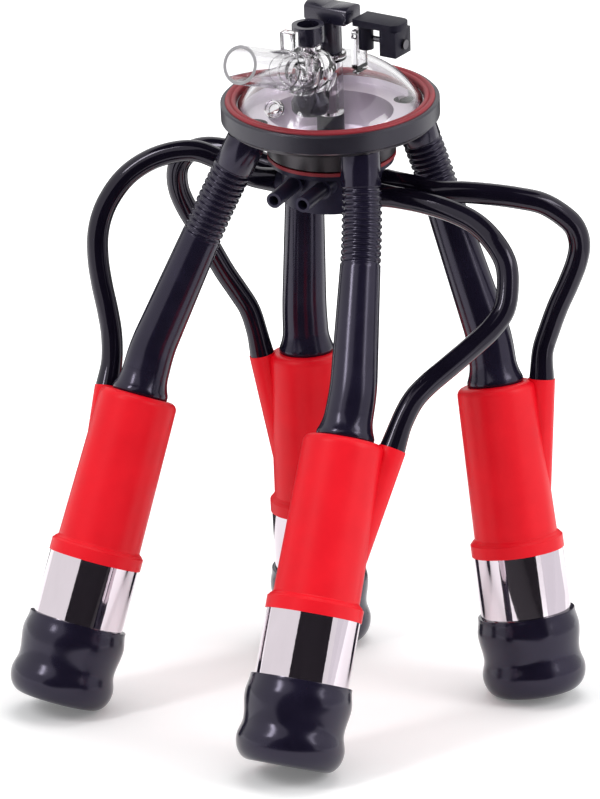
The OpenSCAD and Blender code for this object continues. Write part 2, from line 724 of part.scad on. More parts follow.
// Bowl: domed shell with its foot, column, crown, outlet neck, valve room, blank stub and hanger ear
module bowl() {
    skirt = asin((seal_z + bowl_foot_h - bowl_c) / bowl_out);
    inner_skirt = asin((seal_z - bowl_c) / bowl_in);
    shell = concat(
        [[bowl_foot_r, seal_z], [bowl_foot_r, seal_z + bowl_foot_h]],
        arc([0, bowl_c], bowl_out, bowl_out, skirt, 90, 16),
        arc([0, bowl_c], bowl_in, bowl_in, 90, inner_skirt, 16));
    color(CLEAR) at_bowl() difference() {
        union() {
            rotate_extrude() polygon(shell);
            rod(column_r, boss_top, bowl_top);
            rod(crown_r, bowl_top - 4, crown_z);
            at_outlet() rod(outlet_boss_r, -outlet_inner, 0);
            at_outlet() rod(outlet_neck_r, -EPS, outlet_neck);
            translate([0, -valve_at, 0]) rod(pillar_r, outlet_z, pillar_z);
            difference() {
                at_stub() rod(stub_r, -stub_root, stub_l);
                translate([0, 0, bowl_c]) sphere(bowl_in + 0.6);
            }
            translate([ear_x, -ear_w / 2, bowl_top - 7]) cube([ear_t, ear_w, ear_top - bowl_top + 7]);
        }
        rod(bolt_r + RUN, boss_top - 1, crown_z + 1);
        at_outlet() rod(outlet_bore / 2 - 0.4, -2, outlet_neck + 1);
        translate([0, -valve_at, 0]) {
            rod(valve_room_r, -10, valve_seat);
            rod(port_r, valve_seat - 1, outlet_z);
            rod(rod_r + RUN, outlet_z - 1, pillar_z + 1);
        }
        at_stub() rod(stub_bore_r, 0.5, stub_l + 1);
        at_hanger_screw() rod(hanger_screw_r + 0.05, ear_x - 1, hanger_x + 1);
    }
}

// Outlet pipe: joined end to end on the bowl's neck, with the lug and the step that stops the long milk tube
module outlet_pipe() {
    color(CLEAR) at_bowl() difference() {
        union() {
            at_outlet() rod(outlet_neck_r, outlet_neck, outlet_stop);
            at_outlet() rod(outlet_d / 2, outlet_stop - EPS, outlet_l);
            translate([-lug_w / 2, -lug_at - lug_l / 2, outlet_z]) cube([lug_w, lug_l, lug_top - outlet_z]);
        }
        at_outlet() rod(outlet_bore / 2, outlet_neck - 8, outlet_l + 1);
    }
}

// Shut-off valve: knob, rod and rubber bell, which a lift draws up against its seat
module at_valve() {
    at_bowl() translate([0, -valve_at, 0]) children();
}

module valve_knob() {
    color(BLACK) at_valve() difference() {
        rod(knob_r, knob_z, knob_z + knob_h);
        rod(knob_cup_r, knob_z + knob_floor, knob_z + knob_h + 1);
        rod(rod_r + 0.02, knob_z - 1, knob_z + knob_floor + 1);
    }
}

module valve_stem() {
    color(STEEL) at_valve() rod(rod_r, bell_top - bell_h_all + 4, knob_z + knob_floor + 1);
}

module valve_bell() {
    foot = bell_top - bell_h_all;
    outline = concat(
        [[0, foot]],
        arc([bell_r - 3, foot + 3], 3, 3, -90, 0, 5),
        [[bell_r, bell_top - bell_cone_h], [bell_neck_r, bell_top], [0, bell_top]]);
    color(RUBBER) at_valve() difference() {
        rotate_extrude() polygon(outline);
        rod(rod_r + 0.02, foot + 4, bell_top + 1);
    }
}

module valve_gland() {
    color(RUBBER) at_valve() pipe(gland_r, rod_r + RUN, pillar_z, pillar_z + gland_t);
}

// Hanger: a post and a block under one plate, screwed to the bowl's ear
module hanger_bracket() {
    far = hanger_out + 0.8;
    plan = concat(
        [[hanger_x - 0.8, hanger_w / 2], [hanger_x - 0.8, -hanger_w / 2]],
        arc([far - hanger_round, -hanger_w / 2 + hanger_round], hanger_round, hanger_round, -90, 0, 6),
        arc([far - hanger_round, hanger_w / 2 - hanger_round], hanger_round, hanger_round, 0, 90, 6));
    color(BLACK) at_bowl() difference() {
        union() {
            intersection() {
                translate([hanger_post_x, hanger_post_y, 0])
                    rod(hanger_post_r, hanger_block_z, hanger_under + EPS);
                translate([hanger_x, -hanger_w / 2, 0]) cube([hanger_w, hanger_w, hanger_under + 1]);
            }
            translate([hanger_block_x, -hanger_w / 2, hanger_block_z])
                cube([hanger_block_l, hanger_w, hanger_under - hanger_block_z + EPS]);
            translate([0, 0, hanger_under]) linear_extrude(hanger_plate_h) polygon(plan);
        }
        at_hanger_screw() rod(hanger_screw_r + FIT, hanger_x - 1, hanger_out + 1);
    }
}

module hanger_screw() {
    color(STEEL) at_bowl() at_hanger_screw() {
        rod(hanger_head_r, hanger_out, hanger_out + hanger_head_h);
        rod(hanger_screw_r, ear_x + 1, hanger_out + EPS);
    }
}

bowl();
outlet_pipe();
rim_ring();
rim_seal();
lower_cover();
cover_gasket();
pulse_distributor();
distributor_lid();
lid_screw();
centre_boss();
clamp_bolt();
clamp_handle();
bolt_seal();
valve_knob();
valve_stem();
valve_bell();
valve_gland();
hanger_bracket();
hanger_screw();
for (i = CUPS) milk_inlet(i);
for (i = CUPS) liner(i);
for (i = CUPS) shell_tube(i);
for (i = CUPS) shell_sleeve(i);
for (i = CUPS) shell_seal(i);
for (i = CUPS) milk_tube(i);
for (i = CUPS) pulse_tube(i);
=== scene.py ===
# Milking cluster standing on its mouthpieces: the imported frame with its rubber, hoses, finishes and light.
import json
import math

import bmesh
import bpy
from mathutils import Matrix, Vector, noise


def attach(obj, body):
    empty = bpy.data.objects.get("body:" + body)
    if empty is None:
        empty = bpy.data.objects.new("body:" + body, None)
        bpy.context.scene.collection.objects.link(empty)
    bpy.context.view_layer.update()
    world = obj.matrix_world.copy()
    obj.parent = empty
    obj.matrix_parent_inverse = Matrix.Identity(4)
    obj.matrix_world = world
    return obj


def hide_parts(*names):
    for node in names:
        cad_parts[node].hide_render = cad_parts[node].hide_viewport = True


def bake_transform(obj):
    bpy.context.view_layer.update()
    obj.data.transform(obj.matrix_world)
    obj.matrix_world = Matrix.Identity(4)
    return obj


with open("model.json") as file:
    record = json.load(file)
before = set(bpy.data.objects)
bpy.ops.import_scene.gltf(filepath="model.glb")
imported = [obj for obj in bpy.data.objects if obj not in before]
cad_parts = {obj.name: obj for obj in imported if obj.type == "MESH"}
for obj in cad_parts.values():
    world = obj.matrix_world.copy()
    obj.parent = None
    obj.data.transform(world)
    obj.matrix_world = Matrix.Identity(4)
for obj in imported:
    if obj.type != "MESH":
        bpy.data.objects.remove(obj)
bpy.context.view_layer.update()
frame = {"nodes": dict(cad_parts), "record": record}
NODES = frame["nodes"]
SCENE = bpy.context.scene
MM = 0.001
CUPS = range(4)


def turn(axis, degrees):
    return Matrix.Rotation(math.radians(degrees), 4, axis)


# Camera, fitted to the photograph's edges, in millimetres
CAMERA_AT = (0.03, -1938.0, 646.8)
CAMERA_DOWN = 14.011
FOCAL_PX = 3918.3
IMAGE_H = 799
SENSOR_H = 36

camera = bpy.data.objects.new("camera", bpy.data.cameras.new("camera"))
SCENE.collection.objects.link(camera)
camera.location = Vector(CAMERA_AT) * MM
camera.rotation_euler = (math.radians(90 - CAMERA_DOWN), 0, 0)
camera.data.sensor_fit = "VERTICAL"
camera.data.sensor_height = SENSOR_H
camera.data.lens = FOCAL_PX / IMAGE_H * SENSOR_H
camera.data.clip_end = 50
SCENE.camera = camera

# Frames of the claw and the cups, as in the part's source, in millimetres
CLAW = Matrix.Translation((15.4, 30.1, 309)) @ turn("Y", -2) @ turn("X", 11) @ turn("Z", -26)
MOUTH = [(-125.6, -12.4), (-6.6, -116.9), (123.9, 14.1), (12.4, 113.1)]
LEAN = [20, 22, 10, 4]
HEADING = [-140, -118, -37, 40]
POCKET_SIDE = [135, 0, 0, 180]
LIP_H, LIP_R, LIP_ROLL, MOUTH_FLAT_R = 11, 27, 8, 19
PRESS = 0.6
TOP_Z = 163.6
BELL_H = 12.5
POCKET_OUT, POCKET_Z, POCKET_LEAN = 24, 163, 9.5


def mouth_z(lean):
    """The height of a cup's foot at which its leaning lip is pressed onto the floor."""
    c, s = math.cos(math.radians(lean)), math.sin(math.radians(lean))
    return MOUTH_FLAT_R * s - LIP_H * c - PRESS + math.hypot(LIP_H * c, LIP_ROLL * s)


def cup_frame(i):
    place = Matrix.Translation((*MOUTH[i], mouth_z(LEAN[i])))
    return place @ turn("Z", HEADING[i]) @ turn("Y", -LEAN[i]) @ turn("Z", -HEADING[i])


CUP = [cup_frame(i) for i in CUPS]


# Meshes
WELD = 5e-6
RUBBER_CORNER, CLEAR_CORNER, EASED_CORNER, SOLID_CORNER = 50, 28, 40, 32
ROUNDED = {"segments": 3, "profile": 0.5, "affect": "EDGES"}


def piece(name, verts, faces, finish=None):
    """A mesh object from points in millimetres."""
    mesh = bpy.data.meshes.new(name)
    mesh.from_pydata([Vector(v) * MM for v in verts], [], faces)
    mesh.update()
    mesh.materials.append(finish)
    obj = bpy.data.objects.new(name, mesh)
    SCENE.collection.objects.link(obj)
    return obj


def sweep(route, loop, sides):
    """Points and faces of a hollow tube along a route, with its normals carried without twist.

    The loop holds the tube's rings as (point of the route, radius), out along its outside
    and back along its bore.
    """
    n = len(route)
    heads = [(route[min(i + 1, n - 1)] - route[max(i - 1, 0)]).normalized() for i in range(n)]
    side = Vector((0, 0, 1)) if abs(heads[0].z) < 0.9 else Vector((1, 0, 0))
    frames = []
    for p, h in zip(route, heads):
        side = (side - h * side.dot(h)).normalized()
        frames.append((p, side, h.cross(side)))
    verts, faces = [], []
    for i, r in loop:
        p, u, v = frames[i]
        for k in range(sides):
            a = 2 * math.pi * k / sides
            verts.append(p + (u * math.cos(a) + v * math.sin(a)) * r)
    for i in range(len(loop)):
        a, b = i * sides, (i + 1) % len(loop) * sides
        for k in range(sides):
            m = (k + 1) % sides
            faces.append((a + k, a + m, b + m, b + k))
    return verts, faces


def lathe(outline, sides, place, wobble=None):
    """Points and faces of a closed outline of (radius, height) turned about Z."""
    verts, faces = [], []
    n = len(outline)
    for k in range(sides):
        a = 2 * math.pi * k / sides
        for j, (r, z) in enumerate(outline):
            if wobble:
                r, z = wobble(j, r, z, a)
            verts.append(place @ Vector((r * math.cos(a), r * math.sin(a), z)))
    for k in range(sides):
        m = (k + 1) % sides
        for j in range(n):
            i = (j + 1) % n
            faces.append((k * n + j, m * n + j, m * n + i, k * n + i))
    return verts, faces


def turned(name, outline, place, sides=96):
    """A closed solid whose outline of (radius, height) starts and ends on its axis."""
    wall = outline[1:-1]
    n = len(wall)
    verts = [place @ Vector((0, 0, outline[0][1])), place @ Vector((0, 0, outline[-1][1]))]
    faces = []
    for k in range(sides):
        angle = 2 * math.pi * k / sides
        verts += [place @ Vector((r * math.cos(angle), r * math.sin(angle), z)) for r, z in wall]
        a, b = 2 + k * n, 2 + (k + 1) % sides * n
        faces += [(0, b, a), (1, a + n - 1, b + n - 1)]
        faces += [(a + j, b + j, b + j + 1, a + j + 1) for j in range(n - 1)]
    return piece(name, verts, faces)


def rod(r, z0, z1, place, edge=0.3, sides=96):
    """A round bar with broken edges."""
    outline = [(0, z0), (r - edge, z0), (r, z0 + edge), (r, z1 - edge), (r - edge, z1), (0, z1)]
    return turned("rod", outline, place, sides)


def block(low, high, place, edge):
    """A box with rounded edges."""
    bm = bmesh.new()
    bmesh.ops.create_cube(bm, size=1)
    for v in bm.verts:
        v.co = [l + (h - l) * (c + 0.5) for l, h, c in zip(low, high, v.co)]
    bmesh.ops.bevel(bm, geom=bm.edges[:], offset=edge, **ROUNDED)
    verts = [place @ v.co for v in bm.verts]
    faces = [[v.index for v in f.verts] for f in bm.faces]
    bm.free()
    return piece("block", verts, faces)


def combine(base, others, how):
    """Joins or cuts a solid by others, which are then taken away."""
    for other in others:
        step = base.modifiers.new("step", "BOOLEAN")
        step.operation, step.solver, step.object = how, "EXACT", other
    mesh = bpy.data.meshes.new_from_object(base.evaluated_get(bpy.context.evaluated_depsgraph_get()))
    base.modifiers.clear()
    base.data = mesh
    for other in others:
        bpy.data.objects.remove(other)


def weld(mesh):
    """Closes the slivers that cutting leaves, and splits the faces into sound triangles."""
    bm = bmesh.new()
    bm.from_mesh(mesh)
    bmesh.ops.remove_doubles(bm, verts=bm.verts[:], dist=WELD)
    bmesh.ops.dissolve_degenerate(bm, edges=bm.edges[:], dist=WELD)
    bmesh.ops.triangulate(bm, faces=bm.faces[:], quad_method="BEAUTY", ngon_method="BEAUTY")
    bmesh.ops.dissolve_degenerate(bm, edges=bm.edges[:], dist=WELD)
    bm.to_mesh(mesh)
    bm.free()


def smooth_by_angle(mesh, degrees):
    """Smooth shading, broken at the edges that turn by more than an angle."""
    for p in mesh.polygons:
        p.use_smooth = True
    mesh.set_sharp_from_angle(angle=math.radians(degrees))


def smooth_route(points, steps):
    """A curve through the points, each stretch in a number of steps."""
    out = []
    n = len(points)
    for i in range(n - 1):
        a, b = points[i], points[i + 1]
        before = points[i - 1] if i else a * 2 - b
        after = points[i + 2] if i + 2 < n else b * 2 - a
        for k in range(steps):
            t = k / steps
            out.append(
                0.5 * (2 * a + (b - before) * t + (2 * before - 5 * a + 4 * b - after) * t * t
                       + (3 * a - before - 3 * b + after) * t ** 3))
    return out + [points[-1]]


def ease(p, q, n):
    """An eased step from one point of an outline to another."""
    return [(p[0] + (q[0] - p[0]) * (1 - math.cos(math.pi * k / n)) / 2, p[1] + (q[1] - p[1]) * k / n)
            for k in range(1, n + 1)]


def flare(p, q, n):
    """A curve from one point of an outline to another that ends upright."""
    return [(q[0] + (p[0] - q[0]) * (1 - k / n) ** 2, p[1] + (q[1] - p[1]) * k / n)
            for k in range(1, n + 1)]


def arc(c, rx, ry, a, b, n):
    """Points of an ellipse round c, from one angle to another in degrees."""
    return [(c[0] + rx * math.cos(math.radians(a + (b - a) * k / n)),
             c[1] + ry * math.sin(math.radians(a + (b - a) * k / n))) for k in range(n + 1)]


# Materials
NOISE_LOW, NOISE_HIGH = 0.3, 0.7
LEAST_ROUGH = 0.01
GRAIN_DEPTH = 0.0002
BLOTCH_DETAIL, GRAIN_DETAIL = 6, 3


def fill(n, **values):
    """Sets the inputs of a shader node, whose names have spaces for the underscores."""
    for k, v in values.items():
        n.inputs[k.replace("_", " ")].default_value = v
    return n


def add(tree, kind, operation=None, **values):
    """A new shader node, with its inputs set."""
    n = tree.nodes.new("ShaderNode" + kind)
    if operation:
        n.operation = operation
    return fill(n, **values)


def material(name, color, rough, metallic=0.0, rough_by=0.0, tint_by=0.0, grain=0.0,
             grain_scale=900.0, blotch_scale=60.0, stretch=(1, 1, 1), **sockets):
    """A shader whose roughness and colour drift over the surface, with a fine grain in its bump."""
    m = bpy.data.materials.new(name)
    m.use_nodes = True
    tree = m.node_tree
    link = tree.links.new
    shader = fill(tree.nodes["Principled BSDF"], Metallic=metallic, **sockets)
    place = add(tree, "TexCoord")
    mapping = add(tree, "Mapping", Scale=stretch)
    link(place.outputs["Object"], mapping.inputs["Vector"])

    def cloud(scale, detail):
        n = add(tree, "TexNoise", Scale=scale, Detail=detail)
        link(mapping.outputs["Vector"], n.inputs["Vector"])
        return n.outputs["Fac"]

    blotch = cloud(blotch_scale, BLOTCH_DETAIL)
    drift = add(tree, "MapRange", From_Min=NOISE_LOW, From_Max=NOISE_HIGH,
                To_Min=max(LEAST_ROUGH, rough - rough_by), To_Max=rough + rough_by)
    link(blotch, drift.inputs["Value"])
    link(drift.outputs["Result"], shader.inputs["Roughness"])
    ramp = add(tree, "ValToRGB")
    dark, light = ramp.color_ramp.elements
    dark.position, light.position = NOISE_LOW, NOISE_HIGH
    dark.color = (*[c * (1 - tint_by) for c in color], 1)
    light.color = (*[min(1, c * (1 + tint_by)) for c in color], 1)
    link(blotch, ramp.inputs["Fac"])
    link(ramp.outputs["Color"], shader.inputs["Base Color"])
    if grain:
        bump = add(tree, "Bump", Strength=grain, Distance=GRAIN_DEPTH)
        link(cloud(grain_scale, GRAIN_DETAIL), bump.inputs["Height"])
        link(bump.outputs["Normal"], shader.inputs["Normal"])
    return m


VIOLET_SHEEN = (0.84, 0.78, 1.0, 1)
COOL_SHEEN = (0.90, 0.84, 1.0, 1)
RING_SHEEN = (0.92, 0.88, 1.0, 1)
CLEAR_IOR = 1.49

RED = material("red_plastic", (0.80, 0.0025, 0.013), 0.40, rough_by=0.05, tint_by=0.05,
               grain=0.10, grain_scale=1400, Specular_IOR_Level=0.24)
STEEL = material("polished_steel", (0.71, 0.64, 0.69), 0.05, metallic=1.0, rough_by=0.025, tint_by=0.03,
                 grain=0.05, grain_scale=700, blotch_scale=90, stretch=(1, 1, 0.25))
SHADED_SATIN_STEEL = material("satin_steel_painted_shade", (0.84, 0.78, 0.85), 0.38, metallic=1.0, rough_by=0.05, tint_by=0.04,
                       grain=0.05, grain_scale=600, blotch_scale=70)
DARK_STEEL = material("dark_steel", (0.16, 0.155, 0.17), 0.32, metallic=1.0, rough_by=0.06, tint_by=0.1,
                      grain=0.1, grain_scale=900)
RUBBER = material("black_rubber", (0.0085, 0.0068, 0.0175), 0.19, rough_by=0.04, tint_by=0.2,
                  grain=0.04, grain_scale=700, Specular_IOR_Level=0.5, Specular_Tint=VIOLET_SHEEN)
HOSE = material("black_hose", (0.0045, 0.0035, 0.0085), 0.10, rough_by=0.03, tint_by=0.2,
                grain=0.04, grain_scale=900, Specular_IOR_Level=0.46, Specular_Tint=COOL_SHEEN)
BLACK = material("black_plastic", (0.016, 0.0145, 0.032), 0.34, rough_by=0.06, tint_by=0.2,
                 grain=0.10, grain_scale=1300, Specular_IOR_Level=0.34, Specular_Tint=COOL_SHEEN)
GLOSS_BLACK = material("gloss_black", (0.008, 0.0072, 0.0165), 0.25, rough_by=0.04, tint_by=0.2,
                       grain=0.05, grain_scale=1300, Specular_IOR_Level=0.5, Specular_Tint=COOL_SHEEN,
                       Coat_Weight=0.25, Coat_Roughness=0.2)
MATT_BLACK = material("matt_black", (0.007, 0.0065, 0.014), 0.46, rough_by=0.06, tint_by=0.2,
                      grain=0.14, grain_scale=1300, Specular_IOR_Level=0.22, Specular_Tint=COOL_SHEEN)
RING = material("ring_plastic", (0.012, 0.0108, 0.0195), 0.40, rough_by=0.06, tint_by=0.12,
                grain=0.2, grain_scale=1500, Specular_Tint=RING_SHEEN, Coat_Weight=0.3, Coat_Roughness=0.35)
SEAL = material("red_rubber", (0.27, 0.010, 0.021), 0.45, rough_by=0.06, tint_by=0.12, grain=0.12)
CLEAR = material("clear_plastic", (0.985, 0.980, 0.990), 0.012, rough_by=0.008, tint_by=0.004,
                 grain=0.01, grain_scale=120, Transmission_Weight=1.0, IOR=CLEAR_IOR)
MATT_CLEAR = material("matt_clear_plastic", (0.90, 0.88, 0.92), 0.45, rough_by=0.05, tint_by=0.03,
                      grain=0.05, grain_scale=900, Transmission_Weight=0.68, IOR=CLEAR_IOR)

FINISH = {"clear_plastic": CLEAR, "ring_plastic": RING, "red_rubber": SEAL, "red_plastic": RED,
          "black_plastic": BLACK, "polished_steel": STEEL, "black_rubber": RUBBER, "black_hose": HOSE}
for part in frame["record"]["subparts"]:
    obj = NODES[part["node"]]
    obj.data.materials.clear()
    obj.data.materials.append(FINISH[part["material_slot"]])


# Lower cover: bare steel inside, with painted shade darkening its outside
COVER_EYE = (0, 0, 30)
OUTSIDE_SHADE_SHARE = 0.10
SHADE_EDGE = 0.002


def paint_shade_outside(m, centre, share):
    """Painted shade: the base colour is darkened where the surface faces away from a point, on the shaded
    outside of the dish.
    """
    tree = m.node_tree
    link = tree.links.new
    base = tree.nodes["Principled BSDF"].inputs["Base Color"]
    face = add(tree, "NewGeometry")
    away = add(tree, "VectorMath", "SUBTRACT")
    away.inputs[1].default_value = centre
    link(face.outputs["Position"], away.inputs[0])
    dot = add(tree, "VectorMath", "DOT_PRODUCT")
    link(face.outputs["Normal"], dot.inputs[0])
    link(away.outputs["Vector"], dot.inputs[1])
    side = add(tree, "MapRange", From_Min=-SHADE_EDGE, From_Max=SHADE_EDGE, To_Min=1, To_Max=share)
    link(dot.outputs["Value"], side.inputs["Value"])
    scale = add(tree, "VectorMath", "SCALE")
    link(base.links[0].from_socket, scale.inputs[0])
    link(side.outputs["Result"], scale.inputs["Scale"])
    link(scale.outputs["Vector"], base)


# Painted shade on the lower cover's outside, put into its base colour
paint_shade_outside(SHADED_SATIN_STEEL, CLAW @ Vector(COVER_EYE) * MM, OUTSIDE_SHADE_SHARE)
NODES["lower_cover"].data.materials[0] = SHADED_SATIN_STEEL
NODES["hanger_screw"].data.materials[0] = DARK_STEEL
NODES["valve_knob"].data.materials[0] = GLOSS_BLACK

# Short pulse tubes: free hoses from the distributor's nipples to the pockets of the cups
PULSE_D, PULSE_BORE, PULSE_FLARE = 11.2, 7.4, 0.95
PULSE_GRIP, PULSE_FLARE_CURVE = 14, 1.5
PULSE_STEPS, PULSE_SIDES = 6, 24
PULSE_FROM = [(-26, -9, -40.5), (26, -9, -40.5), (26, 9, -40.5), (-26, 9, -40.5)]
PULSE_ROUTES = [
    [(-34, 54, 273), (-44, 57, 278), (-54, 59, 281), (-65, 61, 280), (-77, 62, 276),
     (-88, 62, 269), (-96, 62, 260), (-102, 62, 249), (-105, 61, 237), (-105, 59, 224),
     (-103, 56, 211), (-100, 52, 198), (-98, 49, 186)],
    [(62, 7, 264), (76, 0, 261), (88, -6, 256), (97, -12, 248), (103, -17, 238),
     (104, -22, 227), (102, -27, 216), (95, -32, 207), (85, -38, 199), (74, -44, 191),
     (63, -50, 183), (56, -54, 176)],
    [(70, 22, 267), (84, 19, 267), (98, 18, 266), (111, 19, 264), (123, 21, 261),
     (133, 23, 255), (140, 25, 248), (143, 27, 239), (142, 29, 229), (138, 31, 217),
     (133, 32, 205), (129, 33, 193)],
    [(-27, 70, 276), (-39, 75, 279), (-50, 80, 279), (-59, 84, 275), (-64, 87, 267),
     (-64, 90, 256), (-60, 93, 245), (-54, 96, 234), (-47, 99, 221), (-40, 102, 208),
     (-33, 104, 197), (-27, 105, 187)],
]


def pulse_hose(i):
    leave = (CLAW.to_3x3() @ Vector((PULSE_FROM[i][0], 0, 0))).normalized()
    start = CLAW @ Vector(PULSE_FROM[i])
    pocket = (CUP[i] @ turn("Z", POCKET_SIDE[i]) @ Matrix.Translation((POCKET_OUT, 0, POCKET_Z))
              @ turn("Y", POCKET_LEAN))
    stop, nose = pocket @ Vector(), pocket.to_3x3() @ Vector((0, 0, 1))
    points = [start, start + leave * PULSE_GRIP, *map(Vector, PULSE_ROUTES[i]),
              stop + nose * PULSE_GRIP, stop]
    route = smooth_route(points, PULSE_STEPS)
    far = [0.0]
    for a, b in zip(route, route[1:]):
        far.append(far[-1] + (b - a).length)
    total = far[-1]
    outside = [
        (k, PULSE_D / 2 + PULSE_FLARE * max(0, 1 - min(s, total - s) / PULSE_GRIP) ** PULSE_FLARE_CURVE)
        for k, s in enumerate(far)]
    bore = [(k, PULSE_BORE / 2) for k in reversed(range(len(far)))]
    obj = piece(f"pulse_hose_{i + 1}", *sweep(route, outside + bore, PULSE_SIDES), HOSE)
    smooth_by_angle(obj.data, RUBBER_CORNER)
    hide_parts(f"pulse_tube_{i + 1}")
    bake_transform(obj)


for i in CUPS:
    pulse_hose(i)

# Short milk tubes: ribbed neck under the claw, then a taper to the bell of the liner
TUBE_D, TUBE_END_D = 20.4, 24.4
TUBE_RI, TUBE_SEAT, TUBE_TAIL = 6.8, 0.05, 5
NECK_ROUND, FOOT_ROUND = TUBE_D * 0.7, TUBE_D * 0.35
RIBS, RIB_PITCH, RIB_DEPTH = 12, 3.4, 0.8
RIB_FROM, RIB_LEAD = TUBE_D * 0.75, 0.4
# A groove and its rib, in shares of the pitch and of the depth
RIB_FORM = [(0.0, 0.55), (0.08, 0.93), (0.25, 1.0), (0.42, 0.93), (0.5, 0.55),
            (0.57, 0.12), (0.66, 0.0), (0.84, 0.0), (0.93, 0.12)]
TAPER_STEPS, TUBE_SIDES = 44, 56
CUFF_OVER, COVER_GAP = 1, 0.03
INLET_SIDE = [-135, -45, 45, 135]
INLET_LEAN = [27, 23, 18, 22]
INLET_SKEW, INLET_R, INLET_Z = -19, 43, -6.8
INLET_BOSS_R, INLET_BOSS_FACE, INLET_BOSS_FIT = 9.6, 0.6, 0.05


def milk_hose(i):
    tilt = math.radians(INLET_LEAN[i])
    out = turn("Z", INLET_SIDE[i] + INLET_SKEW) @ Vector((math.sin(tilt), 0, -math.cos(tilt)))
    drop = INLET_BOSS_R * math.tan(tilt) + INLET_BOSS_FACE
    start = CLAW @ (turn("Z", INLET_SIDE[i]) @ Vector((INLET_R, 0, INLET_Z)) + out * (drop + TUBE_SEAT))
    down = CLAW.to_3x3() @ out
    stop = CUP[i] @ Vector((0, 0, TOP_Z + BELL_H + TUBE_SEAT))
    up = CUP[i].to_3x3() @ Vector((0, 0, 1))
    lead = TUBE_D
    neck, foot = lead + NECK_ROUND, TUBE_TAIL + FOOT_ROUND
    neck_at, foot_at = start + down * neck, stop + up * foot
    across = (foot_at - neck_at).normalized()
    total = neck + (foot_at - neck_at).length + foot
    bend_from, bend_to = total - foot - FOOT_ROUND, total - TUBE_TAIL

    def rounded(c, u, v, reach, t):
        return c - u * (reach * (1 - t) ** 2) + v * (reach * t * t)

    def along(s):
        if s <= lead:
            return start + down * s
        if s < neck + NECK_ROUND:
            return rounded(neck_at, down, across, NECK_ROUND, (s - lead) / NECK_ROUND / 2)
        if s <= bend_from:
            return neck_at + across * (s - neck)
        if s < bend_to:
            return rounded(foot_at, across, -up, FOOT_ROUND, (s - bend_from) / FOOT_ROUND / 2)
        return stop + up * (total - s)

    # Rings of the tube as (way along the route, radius): out along its outside, back along its bore
    rib_to = RIB_FROM + RIBS * RIB_PITCH
    cuff = -(drop + TUBE_D / 2 * math.tan(tilt) + CUFF_OVER)
    outside = [(cuff, TUBE_D / 2), (0, TUBE_D / 2), (RIB_FROM - RIB_LEAD, TUBE_D / 2)]
    for k in range(RIBS):
        at = RIB_FROM + k * RIB_PITCH
        outside += [(at + share * RIB_PITCH, TUBE_D / 2 - RIB_DEPTH * depth) for share, depth in RIB_FORM]
    for k in range(TAPER_STEPS + 1):
        t = k / TAPER_STEPS
        outside.append((rib_to + t * (total - rib_to), (TUBE_D + t * (TUBE_END_D - TUBE_D)) / 2))
    boss = INLET_BOSS_R + INLET_BOSS_FIT
    bore = [(total, TUBE_RI)] + [(s, TUBE_RI) for s, _ in reversed(outside[3:-1:4])]
    bore += [(0, TUBE_RI), (0, boss), (cuff, boss)]
    places = sorted({s for s, _ in outside + bore})
    loop = [(places.index(s), r) for s, r in outside + bore]
    verts, faces = sweep([along(s) for s in places], loop, TUBE_SIDES)
    # The cuff stops at the cover's underside
    home = CLAW.inverted()
    for v in verts:
        high = (home @ v).z - (INLET_Z - COVER_GAP)
        if high > 0:
            v += down * (high / -out.z)
    obj = piece(f"milk_hose_{i + 1}", verts, faces, RUBBER)
    smooth_by_angle(obj.data, RUBBER_CORNER)
    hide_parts(f"milk_tube_{i + 1}")
    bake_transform(obj)


for i in CUPS:
    milk_hose(i)

# Liners: the mouthpiece folded over the steel, and the bell on the sleeve's top
SKIRT_RI, SKIRT_R, BULGE_R, WAIST_R = 23.6, 25.4, 26.7, 25.2
MOUTH_H, WAIST_Z, SHOULDER_Z = 42.5, 20, 16
BULGE_Z = WAIST_Z + (MOUTH_H - WAIST_Z) * 0.58
LIP_HOLE_R, LIP_THICK, BARREL_RI, BARREL_R, CHAMBER_R = 11.5, 3.2, 11, 13, 17
SHOULDER_STEP, SHOULDER_H, CHAMBER_H, CHAMBER_EDGE = 4, 10, 9, 1
TAIL_R, TAIL_FROM, TAIL_TO = 11.3, TOP_Z - 24, TOP_Z - 12
BORE_FROM, BORE_TO = TOP_Z - 30, TOP_Z - 8
COLLAR_R, COLLAR_H, COLLAR_EDGE = 14.6, 2.5, 0.4
RIM_ROUND, RIM_BREAK = 0.5, 0.1
RIM_WAVE, RIM_WAVES, RIM_SHIFT = 0.35, 4, 7.0
LIP_STEPS, SKIRT_STEPS, RIM_STEPS, BELL_STEPS, LINER_SIDES = 20, 14, 10, 14, 128


